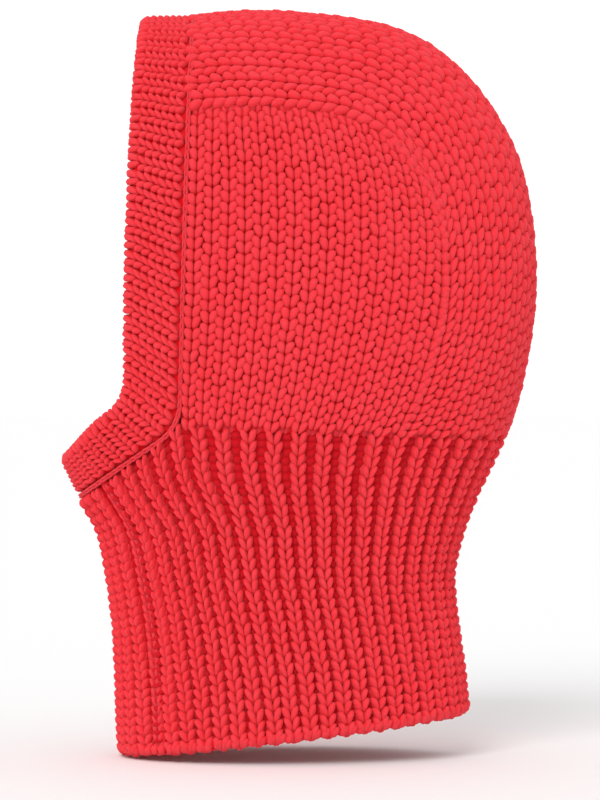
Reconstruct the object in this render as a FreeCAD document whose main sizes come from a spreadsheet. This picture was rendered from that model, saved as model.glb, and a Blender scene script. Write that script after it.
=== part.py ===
import FreeCAD, Part
import math
import os

# Chunky hand-knit balaclava, modelled open and upright, as it stands around a head.
# Frame: origin at the centre of the head, +Z up, the face looks along -Y, +X is the wearer's left.

Vector = FreeCAD.Vector
doc = FreeCAD.newDocument("Balaclava")


# ---------------------------------------------------------------- driving dimensions (mm, degrees)

SIZES = [
    # the point on each cheek where hood, neck and face band meet
    ("cheek_forward", 85.0),
    ("cheek_drop", 98.0),
    # the hood fans about the line through both cheek points, from the nape to the forehead
    ("nape_angle", -2.0),
    ("forehead_angle", 88.3),
    # reach of the hood from that line, evenly spaced in angle; at the nape it meets the neck
    ("reach_lower_back", 193.0),
    ("reach_back", 216.5),
    ("reach_upper_back", 240.0),
    ("reach_crown", 249.3),
    ("reach_top", 237.0),
    ("reach_forehead", 226.0),
    # half widths of the hood, and how far out from the cheek line it is widest
    ("half_width_crown", 76.0),
    ("half_width_forehead", 73.0),
    ("widest_crown", 88.0),
    ("widest_forehead", 106.0),
    ("roundness_nape", 2.0),
    ("roundness_forehead", 2.25),
    # knitted wall, and the strip that runs up the back and over the crown
    ("wall", 7.0),
    ("crown_strip_width", 180.0),
    ("seam_width", 1.6),
    ("seam_recess", 1.5),
    ("clearance", 0.2),
    # neck: ellipses evenly spaced from the cheek points down to just below the hem
    ("foot_below_hem", 23.5),
    ("front_chin", 157.0),
    ("front_jaw", 149.8),
    ("front_throat", 134.0),
    ("front_upper", 128.0),
    ("front_middle", 124.3),
    ("front_lower", 122.8),
    ("front_collar", 122.0),
    ("front_foot", 120.5),
    ("back_chin", 92.6),
    ("back_jaw", 79.3),
    ("back_throat", 68.3),
    ("back_upper", 62.3),
    ("back_middle", 64.5),
    ("back_lower", 68.0),
    ("back_collar", 70.6),
    ("back_foot", 72.0),
    ("side_chin", 71.0),
    ("side_jaw", 66.0),
    ("side_throat", 61.5),
    ("side_upper", 59.0),
    ("side_middle", 58.0),
    ("side_lower", 58.0),
    ("side_collar", 59.0),
    ("side_foot", 60.5),
    # slanted hem: its height on the neck's axis plane, its slope, and the cast-on edge below it
    ("hem_drop", 261.5),
    ("hem_slope", 6.6),
    ("cast_on_height", 4.0),
    # seam that closes the neck, beside the centre of the throat
    ("neck_seam_offset", 35.0),
    # face band: folded double, sewn to hood and neck by a row of chained loops
    ("chin_seam_slope", 34.0),
    # its rim, set off from the cheek points and from the hood's front edge
    ("band_width", 30.4),
    ("rim_rise", 15.6),
    ("rim_lean", 8.0),
    ("rim_top_inset", 16.0),
    ("rim_widest_inset", 2.0),
    ("rim_side_inset", 6.0),
    ("rim_cheek_inset", 7.3),
    ("chin_rim_slope", 41.0),
    ("chin_rim_reach", 50.0),
    ("band_thickness", 11.0),
    ("fold_bulge", 3.0),
    ("chain_width", 2.4),
    ("chain_proud", 1.2),
]

STATIONS = ["chin", "jaw", "throat", "upper", "middle", "lower", "collar", "foot"]
REACHES = ["lower_back", "back", "upper_back", "crown", "top", "forehead"]
FAR = 400.0             # half side of the blocks that trim the neck
HOOD_SECTIONS = 13
SEAM_START = 7          # hood section where the crown seams begin, as the strip turns over the crown
SEAM_FADE = 3           # sections over which strip and sides draw together below that
SIDE_SPANS = 8          # points along a side panel's section
CROWN_SPANS = 12        # spans across the crown strip's section, both halves together
RING_STATIONS = 21      # band sections round one half of the face opening
RING_POINTS = 161       # points of the fine curve that the band's cheek corner is rounded on
CORNER_SPREAD = 6       # points either side that the rounding averages over
CHEEK_GAP = 3.0         # the side panels stop this far short of the cheek point

sheet = doc.addObject("Spreadsheet::Sheet", "Sizes")
for row, (alias, value) in enumerate(SIZES, start=1):
    sheet.set("A%d" % row, alias)
    sheet.set("B%d" % row, str(value))
    sheet.setAlias("B%d" % row, alias)
doc.recompute()


def size(alias):
    return float(sheet.get(alias))


# ---------------------------------------------------------------- curves that the pieces share

def through(values, fraction):
    """Smooth value at a fraction of the way along evenly spaced values."""
    last = len(values) - 1
    place = min(max(fraction, 0.0), 1.0) * last
    i = min(int(place), last - 1)
    f = place - i
    p1, p2 = values[i], values[i + 1]
    p0 = values[i - 1] if i > 0 else 2 * p1 - p2
    p3 = values[i + 2] if i + 2 <= last else 2 * p2 - p1
    return p1 + 0.5 * f * (p2 - p0 + f * (2 * p0 - 5 * p1 + 4 * p2 - p3 + f * (3 * (p1 - p2) + p3 - p0)))


def even(points, count, start=0.0, end=1.0):
    """count points, evenly spaced by length, between two fractions of a polyline's length."""
    lengths = [0.0]
    for a, b in zip(points, points[1:]):
        lengths.append(lengths[-1] + (b - a).Length)
    found = []
    i = 0
    for k in range(count):
        target = lengths[-1] * (start + (end - start) * k / (count - 1))
        while i < len(points) - 2 and lengths[i + 1] < target:
            i += 1
        share = (target - lengths[i]) / (lengths[i + 1] - lengths[i])
        found.append(points[i] + (points[i + 1] - points[i]) * share)
    return found


def length_of(points):
    return sum((b - a).Length for a, b in zip(points, points[1:]))


def neck_at(drop):
    """Front, back and half width of the neck's outside at a depth below the head's centre."""
    top = size("cheek_drop")
    fraction = (drop - top) / (size("hem_drop") + size("foot_below_hem") - top)
    rows = [[size("%s_%s" % (side, name)) for name in STATIONS] for side in ("front", "back", "side")]
    return [through(row, fraction) for row in rows]


def neck_side(y, drop):
    front, back, half = neck_at(drop)
    middle = (back - front) / 2
    reach = (back + front) / 2
    inside = 1 - ((y - middle) / reach) ** 2
    return half * math.sqrt(max(inside, 0.0))


def nape_reach():
    """Distance from the cheek line to the neck's outside at the centre back, along the join."""
    tilt = math.radians(-size("nape_angle"))
    away = size("cheek_forward")
    for _ in range(20):
        back = neck_at(size("cheek_drop") + away * math.sin(tilt))[1]
        away = (back + size("cheek_forward")) / math.cos(tilt)
    return away


CHEEK = Vector(0, -size("cheek_forward"), -size("cheek_drop"))
CHEEK.x = neck_side(CHEEK.y, -CHEEK.z)
RIM_CHEEK = CHEEK + Vector(-size("rim_cheek_inset"), -size("band_width"), size("rim_rise"))


def arch(foot, angle, reach, widest, half, power, shortest=0.0):
    """Left half of an arch from its top centre down to its foot, in a plane through the cheek line."""
    out = Vector(0, math.cos(math.radians(angle)), math.sin(math.radians(angle)))
    rise = reach - widest
    fall = widest / (1 - (foot.x / half) ** power) ** (1 / power)
    base = Vector(0, foot.y, foot.z)
    points = []
    for k in range(61):
        turn = math.radians(90 - 1.5 * k)
        x = half * math.cos(turn) ** (2 / power) if k else 0.0
        points.append(base + Vector(x, 0, 0) + out * (widest + rise * math.sin(turn) ** (2 / power)))
    for k in range(1, 41):
        away = widest + (shortest - widest) * k / 40
        x = half * (1 - ((widest - away) / fall) ** power) ** (1 / power)
        points.append(base + Vector(x, 0, 0) + out * away)
    return points


def hood_arch(fraction, depth=0.0, shortest=0.0):
    """The hood's arch at a fraction of the fan from nape to forehead, depth inside its outer face."""
    front, back, half = neck_at(size("cheek_drop"))
    widest_nape = (back - front) / 2 + size("cheek_forward")
    angle = size("nape_angle") + (size("forehead_angle") - size("nape_angle")) * fraction
    reach = through([nape_reach()] + [size("reach_" + name) for name in REACHES], fraction)
    widest = through([widest_nape, size("widest_crown"), size("widest_forehead")], fraction)
    width = through([half, size("half_width_crown"), size("half_width_forehead")], fraction)
    power = through([size("roundness_nape"), size("roundness_forehead")], fraction)
    foot = Vector(CHEEK.x - depth, CHEEK.y, CHEEK.z)
    return arch(foot, angle, reach - depth, widest, width - depth, power, shortest)


def rim_arch():
    """Left half of the rim, from the top centre down to the cheek, leaning back towards the top."""
    reach = size("reach_forehead") - size("rim_top_inset")
    widest = size("widest_forehead") - size("rim_widest_inset")
    half = size("half_width_forehead") - size("rim_side_inset")
    points = arch(RIM_CHEEK, 90.0, reach, widest, half, size("roundness_forehead"))
    return [p + Vector(0, size("rim_lean") * ((p.z - RIM_CHEEK.z) / reach) ** 2, 0) for p in points]


def chin_seam():
    """Left half of the seam under the chin, from the cheek to the centre: the neck cut by a plane."""
    slope = math.tan(math.radians(size("chin_seam_slope")))
    points = [CHEEK]
    y = CHEEK.y
    step = 0.5
    while points[-1].x > 0:
        y -= step
        drop = size("cheek_drop") + (CHEEK.y - y) * slope
        points.append(Vector(neck_side(y, drop), y, -drop))
    return points


def chin_rim():
    """Left half of the rim under the chin, from the cheek round to the centre."""
    slope = math.radians(size("chin_rim_slope"))
    reach = size("chin_rim_reach")
    forward = Vector(0, -math.cos(slope), -math.sin(slope))
    base = Vector(0, RIM_CHEEK.y, RIM_CHEEK.z)
    turns = [math.radians(1.5 * k) for k in range(61)]
    return [base + Vector(RIM_CHEEK.x * math.cos(a), 0, 0) + forward * reach * math.sin(a) for a in turns]


def mirrored(points):
    return [Vector(-p.x, p.y, p.z) for p in points]


# ---------------------------------------------------------------- making the document's objects

def strip_wire(outer, inner):
    """Closed section of a knitted wall: outer curve, end, inner curve, end."""
    skin = Part.BSplineCurve()
    skin.interpolate(outer)
    lining = Part.BSplineCurve()
    lining.interpolate(inner[::-1])
    return Part.Wire([skin.toShape(), Part.makeLine(outer[-1], inner[-1]),
                      lining.toShape(), Part.makeLine(inner[0], outer[0])])


def section(name, wire):
    feature = doc.addObject("Part::Feature", name)
    feature.Shape = wire
    return feature


def loft(name, wires):
    piece = doc.addObject("Part::Loft", name)
    piece.Sections = [section("%s_section_%d" % (name, k), wire) for k, wire in enumerate(wires)]
    piece.Solid = True
    piece.Ruled = False
    return piece


def block(name, y, z, tilt):
    """A large block above a plane through the line at (y, z) along X, tilted about that line."""
    box = doc.addObject("Part::Box", name)
    box.Length = 2 * FAR
    box.Width = 2 * FAR
    box.Height = 2 * FAR
    box.Placement.Rotation = FreeCAD.Rotation(Vector(1, 0, 0), 10)
    box.setExpression("Placement.Rotation.Angle", tilt)
    box.setExpression("Placement.Base.x", "-Length / 2")
    # the plane's line lies half way along the block's width
    box.setExpression("Placement.Base.y", "(%s) * 1 mm - Width / 2 * cos(%s)" % (y, tilt))
    box.setExpression("Placement.Base.z", "(%s) * 1 mm - Width / 2 * sin(%s)" % (z, tilt))
    return box


def boolean(kind, name, base, tool):
    result = doc.addObject("Part::" + kind, name)
    result.Base = base
    result.Tool = tool
    return result


# ---------------------------------------------------------------- hood: two sides and the crown strip

def hood_cut(fraction, lengths, count, recess=0.0):
    """Outer and inner curves of the hood's wall between two lengths down from its top centre."""
    foot_gap = CHEEK_GAP if lengths[1] is None else 0.0
    outer = hood_arch(fraction, recess, foot_gap)
    inner = hood_arch(fraction, size("wall"), foot_gap)
    full = length_of(hood_arch(fraction, 0.0, foot_gap))
    near, far = [1.0 if place is None else place / full for place in lengths]
    return even(outer, count, near, far), even(inner, count, near, far)


def make_hood():
    half_strip = size("crown_strip_width") / 2
    half_seam = size("seam_width") / 2
    sides = []
    seams = []
    crown = []
    for k in range(HOOD_SECTIONS):
        fraction = k / (HOOD_SECTIONS - 1)
        opened = min(max((k - SEAM_START + SEAM_FADE) / SEAM_FADE, 0.0), 1.0)
        edge = half_seam * opened + size("clearance")
        sides.append(hood_cut(fraction, (half_strip + edge, None), SIDE_SPANS))
        if k >= SEAM_START:
            seams.append(hood_cut(fraction, (half_strip - half_seam, half_strip + half_seam), 3,
                                  size("seam_recess")))
        outer, inner = hood_cut(fraction, (0.0, half_strip - edge), CROWN_SPANS // 2 + 1)
        crown.append(strip_wire(outer[:0:-1] + mirrored(outer), inner[:0:-1] + mirrored(inner)))
    pieces = {"crown_strip": loft("crown_strip", crown)}
    for label, parts in (("hood_side", sides), ("crown_seam", seams)):
        left = label + "_left"
        right = label + "_right"
        pieces[left] = loft(left, [strip_wire(o, i) for o, i in parts])
        pieces[right] = loft(right, [strip_wire(mirrored(o), mirrored(i)) for o, i in parts])
    return pieces


# ---------------------------------------------------------------- face band and its row of chained loops

def half_ring(half_arch, half_chin):
    """Stations round the left half of the face opening, with the corner at the cheek rounded off."""
    sharp = even(half_arch + half_chin[1:], RING_POINTS)
    beyond_top = mirrored(sharp[CORNER_SPREAD:0:-1])
    beyond_chin = mirrored(sharp[-2:-CORNER_SPREAD - 2:-1])
    longer = beyond_top + sharp + beyond_chin
    rounded = []
    for k in range(RING_POINTS):
        near = longer[k:k + 2 * CORNER_SPREAD + 1]
        rounded.append(sum(near, Vector(0, 0, 0)) / len(near))
    rounded[0].x = 0
    rounded[-1].x = 0
    return even(rounded, RING_STATIONS)


def inward(points, k, out):
    """Unit vector into the wall at station k, square to the ring and to the way out of the face."""
    if k == 0 or k == len(points) - 1:
        along = Vector(1 if k == 0 else -1, 0, 0)
    else:
        along = points[k + 1] - points[k - 1]
    return along.cross(out).normalize()


def both_halves(name, wires):
    """Ring made of a loft round the left half and its mirror image."""
    half = loft(name + "_left_half", wires)
    other = doc.addObject("Part::Mirroring", name + "_right_half")
    other.Source = half
    other.Normal = Vector(1, 0, 0)
    return boolean("Fuse", name, half, other)


def make_band():
    hood_rim = half_ring(hood_arch(1.0), chin_seam())
    fold = half_ring(rim_arch(), chin_rim())
    thickness = size("band_thickness")
    depth = size("wall")
    gap = size("clearance")
    bands = []
    chains = []
    for k, (seam, rim) in enumerate(zip(hood_rim, fold)):
        out = (rim - seam).normalize()
        into = inward(hood_rim, k, out)
        into_rim = inward(fold, k, out)
        start = seam + out * (size("chain_width") + 2 * gap)
        end = rim - out * size("fold_bulge")
        bulge = rim + into_rim * (thickness / 2)
        edge = Part.Arc(end, bulge, end + into_rim * thickness).toShape()
        bands.append(Part.Wire([Part.makeLine(start, end), edge,
                                Part.makeLine(end + into_rim * thickness, start + into * thickness),
                                Part.makeLine(start + into * thickness, start)]))
        near = seam + out * gap
        far = near + out * size("chain_width")
        crest = (near + far) / 2 - into * size("chain_proud")
        chains.append(Part.Wire([Part.Arc(near, crest, far).toShape(), Part.makeLine(far, far + into * depth),
                                 Part.makeLine(far + into * depth, near + into * depth),
                                 Part.makeLine(near + into * depth, near)]))
    return {"face_band": both_halves("face_band", bands),
            "band_linking_chain": both_halves("band_linking_chain", chains)}


# ---------------------------------------------------------------- neck: ribbed tube, its seam and its hem

def neck_loft(name, depth):
    """Loft through level ellipses, each bound to its front, back and half width."""
    rings = []
    for k, station in enumerate(STATIONS):
        ellipse = doc.addObject("Part::Ellipse", "%s_%s" % (name, station))
        front, back, side = ["Sizes.%s_%s" % (part, station) for part in ("front", "back", "side")]
        ellipse.setExpression("MajorRadius", "(%s + %s) / 2 - %s" % (front, back, depth))
        ellipse.setExpression("MinorRadius", "%s - %s" % (side, depth))
        ellipse.Placement.Rotation = FreeCAD.Rotation(Vector(0, 0, 1), 90)
        share = k / (len(STATIONS) - 1)
        ellipse.setExpression("Placement.Base.y", "(%s - %s) / 2" % (back, front))
        ellipse.setExpression("Placement.Base.z", "-Sizes.cheek_drop - (Sizes.hem_drop + "
                              "Sizes.foot_below_hem - Sizes.cheek_drop) * %.6f" % share)
        rings.append(ellipse)
    body = doc.addObject("Part::Loft", name)
    body.Sections = rings
    body.Solid = True
    body.Ruled = False
    return body


def make_neck():
    cheek = ("-Sizes.cheek_forward", "-Sizes.cheek_drop - Sizes.clearance")
    above_hood_join = block("above_hood_join", cheek[0], cheek[1], "Sizes.nape_angle")
    above_chin_seam = block("above_chin_seam", cheek[0], cheek[1], "Sizes.chin_seam_slope")
    hem_tilt = "Sizes.hem_slope"
    above_edge = block("above_cast_on_edge", "0", "-Sizes.hem_drop + Sizes.cast_on_height", hem_tilt)
    above_hem = block("above_hem", "0", "-Sizes.hem_drop", hem_tilt)

    tube = boolean("Cut", "neck_tube", neck_loft("neck_outside", "0"), neck_loft("neck_inside", "Sizes.wall"))
    under_hood = boolean("Cut", "neck_under_hood", tube, above_hood_join)
    under_band = boolean("Cut", "neck_under_band", under_hood, above_chin_seam)
    body = boolean("Common", "neck_body", under_band, above_edge)
    hem_part = boolean("Common", "neck_above_hem", tube, above_hem)
    cast_on = boolean("Cut", "hem_cast_on_edge", hem_part, above_edge)

    slot = seam_block("neck_seam_slot", "Sizes.seam_width + 2 * Sizes.clearance")
    filling = seam_block("neck_seam_filling", "Sizes.seam_width")
    rib = boolean("Cut", "neck_rib", body, slot)
    seam = boolean("Common", "neck_front_seam", body, filling)
    return {"neck_rib": rib, "neck_front_seam": seam, "hem_cast_on_edge": cast_on}


def seam_block(name, width):
    """Upright slab across the throat's wall, centred on the neck seam."""
    slab = doc.addObject("Part::Box", name)
    slab.setExpression("Length", width)
    slab.Width = FAR
    slab.Height = FAR
    slab.setExpression("Placement.Base.x", "Sizes.neck_seam_offset * 1 mm - Length / 2")
    slab.setExpression("Placement.Base.y", "-Sizes.front_throat * 0.25 mm - Width")
    slab.setExpression("Placement.Base.z", "-Height")
    return slab


# ---------------------------------------------------------------- build, check and write

pieces = {}
pieces.update(make_hood())
pieces.update(make_band())
pieces.update(make_neck())
doc.recompute()

for feature in doc.Objects:
    if "Invalid" in feature.State or "Error" in feature.State:
        raise RuntimeError("%s failed: %s" % (feature.Name, feature.State))

os.makedirs("parts", exist_ok=True)
for label, piece in pieces.items():
    piece.Label = label
    shape = piece.Shape
    if shape.isNull() or not shape.isValid() or not shape.Solids:
        raise RuntimeError("%s has no valid solid" % label)
    shape.exportStep("parts/%s.step" % label)
    box = shape.optimalBoundingBox(False)
    print("%-20s %8.1f cm3  X %.1f..%.1f  Y %.1f..%.1f  Z %.1f..%.1f" % (
        label, shape.Volume / 1000, box.XMin, box.XMax, box.YMin, box.YMax, box.ZMin, box.ZMax))
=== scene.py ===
import bpy
import math
import numpy as np
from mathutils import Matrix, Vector


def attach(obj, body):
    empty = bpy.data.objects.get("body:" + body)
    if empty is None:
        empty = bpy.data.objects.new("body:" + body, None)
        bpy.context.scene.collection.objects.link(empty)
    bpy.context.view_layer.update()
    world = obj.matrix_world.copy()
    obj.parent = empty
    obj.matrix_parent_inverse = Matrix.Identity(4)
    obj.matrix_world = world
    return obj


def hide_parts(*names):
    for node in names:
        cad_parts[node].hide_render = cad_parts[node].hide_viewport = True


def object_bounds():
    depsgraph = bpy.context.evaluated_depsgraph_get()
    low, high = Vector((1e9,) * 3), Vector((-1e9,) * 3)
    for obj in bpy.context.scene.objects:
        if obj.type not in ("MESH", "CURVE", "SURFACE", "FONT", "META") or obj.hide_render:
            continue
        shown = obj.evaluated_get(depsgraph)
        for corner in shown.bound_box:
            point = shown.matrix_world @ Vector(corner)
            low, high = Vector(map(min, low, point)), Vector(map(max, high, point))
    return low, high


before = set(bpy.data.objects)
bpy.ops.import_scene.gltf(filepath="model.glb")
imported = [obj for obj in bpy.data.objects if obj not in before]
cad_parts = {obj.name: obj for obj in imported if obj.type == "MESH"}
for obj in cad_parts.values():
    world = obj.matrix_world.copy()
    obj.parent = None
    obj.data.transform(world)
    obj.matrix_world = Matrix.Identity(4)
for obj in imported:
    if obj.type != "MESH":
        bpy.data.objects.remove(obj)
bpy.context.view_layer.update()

# A balaclava in very thick yarn: honeycomb hood, folded rib band round the face, long rib neck.
# Metres. The face looks along -Y, +X is the wearer's left, the origin is the centre of the head.

mm = 0.001

hoodShape = {
    "cheek": (-85 * mm, -98 * mm),           # Y and Z of the line that the hood fans about
    "angles": (-2.0, 88.3),                  # nape and forehead, in degrees above level
    "reach": np.array([174.6, 193, 216.5, 240, 249.3, 237, 226]) * mm,
    "halfWidth": np.array([71, 76, 73]) * mm,
    "widest": np.array([52.8, 88, 106]) * mm,
    "roundness": np.array([2.0, 2.25]),
    "stripHalf": 90 * mm,                    # crown strip, measured round the arch from its top
    "turnAngle": 52.0,                       # where the strip leaves the back and crosses the crown
    "cornerTuck": 0.045,                     # how far the panel's corner runs under the strip
    "wall": 7 * mm,                          # thickness of the fabric, here and in the neck
}

neckShape = {
    "top": 98 * mm,
    "foot": 285 * mm,
    "front": np.array([157, 149.8, 134, 128, 124.3, 122.8, 122, 120.5]) * mm,
    "back": np.array([92.6, 79.3, 68.3, 62.3, 64.5, 68, 70.6, 72]) * mm,
    "side": np.array([71, 66, 61.5, 59, 58, 58, 59, 60.5]) * mm,
    "hemDrop": 261.5 * mm,
    "hemSlope": 6.6,
    "chinSlope": 34.0,
    "seamX": 35 * mm,
    "cheekRise": 3.5 * mm,                   # fills in under the rounded corner of the face band
    "cheekRib": 0.6,                         # share of the ribs that end behind the cheek points
}

bandShape = {
    "rimCheek": (57 * mm, -115.4 * mm, -82.4 * mm),
    "rimReach": 210 * mm,
    "rimWidest": 104 * mm,
    "rimHalf": 67 * mm,
    "rimLean": 8 * mm,
    "chinSlope": 41.0,
    "chinReach": 50 * mm,
    "start": 2.8 * mm,                       # the linking chain lies behind this
    "thickness": 11 * mm,
    "foldBulge": 3 * mm,
    "usualWidth": 27 * mm,
    "cornerSpread": 6,
}


def through(values, fraction):
    # smooth values between evenly spaced ones
    values = np.asarray(values, float)
    last = len(values) - 1
    padded = np.concatenate([[2 * values[0] - values[1]], values, [2 * values[-1] - values[-2]]])
    place = np.clip(fraction, 0, 1) * last
    i = np.minimum(place.astype(int), last - 1)
    f = place - i
    p0, p1, p2, p3 = padded[i], padded[i + 1], padded[i + 2], padded[i + 3]
    return p1 + 0.5 * f * (p2 - p0 + f * (2 * p0 - 5 * p1 + 4 * p2 - p3 + f * (3 * (p1 - p2) + p3 - p0)))


def resample(points, count, start=0.0, end=1.0):
    # evenly spaced points along a polyline, between two fractions of its length
    steps = np.linalg.norm(np.diff(points, axis=0), axis=1)
    length = np.concatenate([[0], np.cumsum(steps)])
    wanted = np.linspace(start, end, count) * length[-1]
    return np.stack([np.interp(wanted, length, points[:, k]) for k in range(points.shape[1])], 1)


# hood

def hoodSizes(angle, depth):
    low, high = hoodShape["angles"]
    fraction = np.clip((angle - low) / (high - low), 0, 1)
    reach = through(hoodShape["reach"], fraction) - depth
    half = through(hoodShape["halfWidth"], fraction) - depth
    return reach, half, through(hoodShape["widest"], fraction), through(hoodShape["roundness"], fraction)


def neckAt(drop):
    fraction = (drop - neckShape["top"]) / (neckShape["foot"] - neckShape["top"])
    return [through(neckShape[key], fraction) for key in ("front", "back", "side")]


def neckHalfWidth(y, drop):
    front, back, side = neckAt(np.asarray(drop))
    inside = 1 - ((y - (back - front) / 2) / ((back + front) / 2)) ** 2
    return side * np.sqrt(np.maximum(inside, 0))


cheekX = float(neckHalfWidth(hoodShape["cheek"][0], -hoodShape["cheek"][1]))


def archWidth(away, reach, half, widest, power, footX):
    # how far the arch stands out at a distance from the cheek line
    over = np.clip((away - widest) / (reach - widest), 0, 1)
    fall = widest / (1 - (footX / half) ** power) ** (1 / power)
    under = np.clip((widest - away) / fall, 0, 1)
    ratio = np.where(away > widest, over, under)
    return half * np.maximum(1 - ratio ** power, 0) ** (1 / power)


def hoodPoint(y, z, depth):
    dy = y - hoodShape["cheek"][0]
    dz = z - hoodShape["cheek"][1]
    angle = np.degrees(np.arctan2(dz, dy))
    reach, half, widest, power = hoodSizes(angle, depth)
    x = archWidth(np.hypot(dy, dz), reach, half, widest, power, cheekX - depth)
    return np.stack([x, y, z], -1)


def archProfile(reach, half, widest, power, footX):
    # half an arch from its top centre down to its foot line, as (x, distance from that line)
    turn = np.radians(np.linspace(90, 0, 90))
    x = half * np.cos(turn) ** (2 / power)
    x[0] = 0
    away = widest + (reach - widest) * np.sin(turn) ** (2 / power)
    lower = np.linspace(widest, 0, 40)[1:]
    lowerX = archWidth(lower, reach, half, widest, power, footX)
    return np.stack([np.concatenate([x, lowerX]), np.concatenate([away, lower])], 1)


def archLine(angle, depth):
    # one of the hood's arches, its foot on the cheek line
    reach, half, widest, power = [float(v) for v in hoodSizes(np.array(angle), depth)]
    return archProfile(reach, half, widest, power, cheekX - depth)


def standUp(x, away, angle):
    # points of an arch, turned to its angle about the cheek line
    a = math.radians(angle)
    cheekY, cheekZ = hoodShape["cheek"]
    return np.stack([x, cheekY + away * math.cos(a), cheekZ + away * math.sin(a)], 1)


def lengthAlong(line):
    return np.concatenate([[0], np.cumsum(np.linalg.norm(np.diff(line, axis=0), axis=1))])


def stripEdge(angle):
    # the crown strip's edge in side view
    line = archLine(angle, 0)
    away = np.interp(hoodShape["stripHalf"], lengthAlong(line), line[:, 1])
    a = math.radians(angle)
    return [hoodShape["cheek"][0] + away * math.cos(a), hoodShape["cheek"][1] + away * math.sin(a)]


def sideGrid(depth, margin, countU=70, countV=90):
    # left side panel: u runs from the face band to the back, v from the neck up to the crown seam
    low, high = hoodShape["angles"]
    turn = hoodShape["turnAngle"]
    back = np.array([stripEdge(a) for a in np.linspace(low, turn, 40)])
    over = np.array([stripEdge(a) for a in np.linspace(high, turn, 40)])
    corner = back[-1]
    push = (corner - np.array(hoodShape["cheek"])) * hoodShape["cornerTuck"]
    back = back + push * (np.linspace(0, 1, 40) ** 3)[:, None]
    over = over + push * (np.linspace(0, 1, 40) ** 3)[:, None]
    cheek = np.array(hoodShape["cheek"])
    u = np.linspace(-margin, 1 + margin, countU)[None, :, None]
    v = np.linspace(-margin, 1 + margin, countV)[:, None, None]

    def along(points, t):
        even = resample(points, 60)
        t = t.ravel()
        found = np.stack([np.interp(t, np.linspace(0, 1, 60), even[:, k]) for k in (0, 1)], 1)
        before, after = even[1] - even[0], even[-1] - even[-2]
        found += np.minimum(t, 0)[:, None] * before * 59 + np.maximum(t - 1, 0)[:, None] * after * 59
        return found

    bottom = along(np.array([cheek, back[0]]), u)[None, :, :]
    top = along(over, u)[None, :, :]
    left = along(np.array([cheek, over[0]]), v)[:, None, :]
    right = along(back, v)[:, None, :]
    p00, p10, p01, p11 = cheek, back[0], over[0], over[-1]
    flat = (1 - v) * bottom + v * top + (1 - u) * left + u * right
    flat = flat - ((1 - u) * (1 - v) * p00 + u * (1 - v) * p10 + (1 - u) * v * p01 + u * v * p11)
    return hoodPoint(flat[..., 0], flat[..., 1], depth)


def stripGrid(depth, margin, countU=60, countV=120):
    # crown strip: u runs across it from right to left, v from the nape over the crown to the forehead
    low, high = hoodShape["angles"]
    rows = []
    for v in np.linspace(-margin, 1 + margin, countV):
        angle = low + (high - low) * v
        line = archLine(angle, depth)
        length = lengthAlong(line)
        outer = lengthAlong(archLine(angle, 0))[-1]
        u = np.linspace(-1 - 2 * margin, 1 + 2 * margin, countU)
        wanted = np.abs(u) * hoodShape["stripHalf"] * length[-1] / outer
        x = np.interp(wanted, length, line[:, 0]) * np.sign(u)
        rows.append(standUp(x, np.interp(wanted, length, line[:, 1]), angle))
    return np.array(rows)


# neck

def ellipseTurns(fraction):
    # angle round an ellipse of the neck's usual shape, from the back, at a fraction of half its length
    turn = np.linspace(0, math.pi, 400)
    shape = np.stack([np.cos(turn), 0.6 * np.sin(turn)], 1)
    length = lengthAlong(shape)
    return np.interp(fraction, length / length[-1], turn)


def neckPoint(half, drop, depth):
    # half is 0 at the centre back and 1 at the centre front
    front, back, side = neckAt(drop)
    turn = ellipseTurns(half)
    y = (back - front) / 2 + ((back + front) / 2 - depth) * np.cos(turn)
    return np.stack([(side - depth) * np.sin(turn), y, -drop], -1)


def neckTop(half):
    # depth of the neck's upper edge: level under the hood, sloping down under the chin
    drop = np.full_like(half, neckShape["top"])
    tilt = math.tan(math.radians(hoodShape["angles"][0]))
    slope = math.tan(math.radians(neckShape["chinSlope"]))
    for _ in range(12):
        y = neckPoint(half, drop, 0)[..., 1]
        ahead = hoodShape["cheek"][0] - y
        drop = 0.5 * (drop + neckShape["top"] + np.where(ahead > 0, ahead * slope, ahead * tilt))
    return drop - neckShape["cheekRise"] * np.exp(-((ahead - 5 * mm) / (9 * mm)) ** 2)


def neckHem(half):
    y = neckPoint(half, np.full_like(half, neckShape["hemDrop"]), 0)[..., 1]
    return neckShape["hemDrop"] - y * math.tan(math.radians(neckShape["hemSlope"]))


def neckGrid(depth, margin, countU=200, countV=60):
    # u runs once round the neck from the centre back by the left side, v from the hem up
    u = np.linspace(-margin, 1 + margin, countU)
    u = u[None, :] + np.zeros((countV, 1))
    v = np.linspace(-margin, 1 + margin, countV)[:, None] + 0 * u
    wrapped = u % 1.0
    half = 1 - np.abs(2 * wrapped - 1)
    level = neckPoint(np.linspace(0, 1, 200), np.full(200, neckShape["top"]), 0)
    cheekHalf = np.interp(hoodShape["cheek"][0], level[::-1, 1], np.linspace(1, 0, 200))
    topHalf = np.interp(half, [0, neckShape["cheekRib"], 1], [0, cheekHalf, 1])
    drop0, drop1 = neckHem(half), neckTop(topHalf)
    vv = np.clip(v, 0, 1)
    place = half + (topHalf - half) * vv ** 1.4
    drop = drop0 + (drop1 - drop0) * v
    points = neckPoint(place, drop, depth)
    points[..., 0] *= np.where(wrapped < 0.5, 1, -1)
    return points


# face band

def chinSeamLine():
    slope = math.tan(math.radians(neckShape["chinSlope"]))
    y = hoodShape["cheek"][0] - np.arange(0, 140) * 0.5 * mm
    drop = neckShape["top"] + (hoodShape["cheek"][0] - y) * slope
    x = neckHalfWidth(y, drop)
    last = int(np.argmax(x <= 0))
    return np.stack([x, y, -drop], 1)[:last + 1]


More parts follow.
